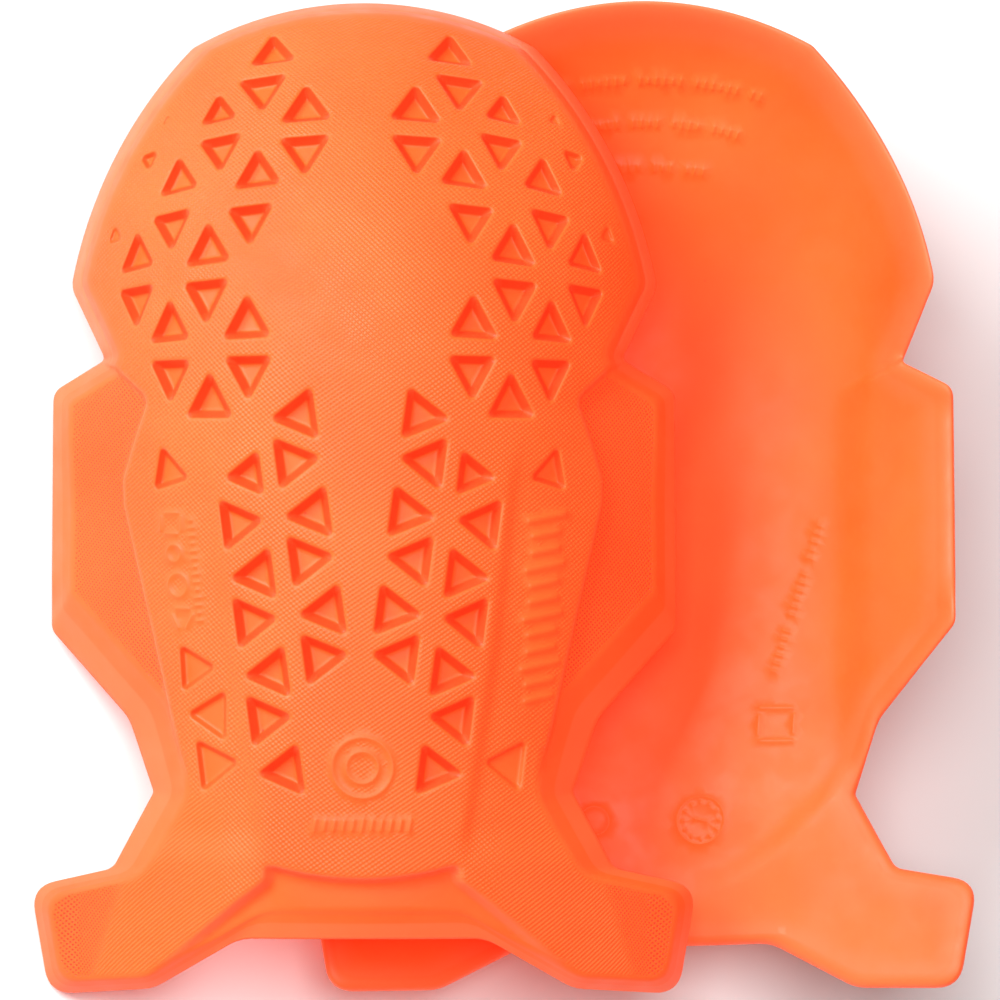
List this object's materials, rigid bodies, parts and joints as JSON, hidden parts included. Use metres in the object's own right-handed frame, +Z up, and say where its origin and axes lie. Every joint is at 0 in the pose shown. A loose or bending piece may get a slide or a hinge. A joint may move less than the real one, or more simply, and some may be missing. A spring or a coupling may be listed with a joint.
{
  "type": "pair of knee pad inserts",
  "caption": "Domed foam shell that cushions a kneeling knee, with triangular pockets, side wings and flared feet; one cup down over one cup up.",
  "frame": {"origin": "middle of the bounding box at floor level", "axes": "+Z up from the floor the pads lie on, +Y towards the tops of the domes, +X from the upper pad to the lower pad"},
  "size_m": [0.1824, 0.2034, 0.0723],
  "materials": {
    "foam": "satin moulded soft foam with a fine knurled outer face"
  },
  "bodies": {
    "right_pad": {"right_knee_pad": "foam"},
    "left_pad": {"left_knee_pad": "foam"}
  },
  "joints": [
    {"name": "left_pad_lift", "type": "slide", "parent": "right_pad", "child": "left_pad", "axis": [0, 0, 1], "range_m": [0, 0.08]}
  ]
}
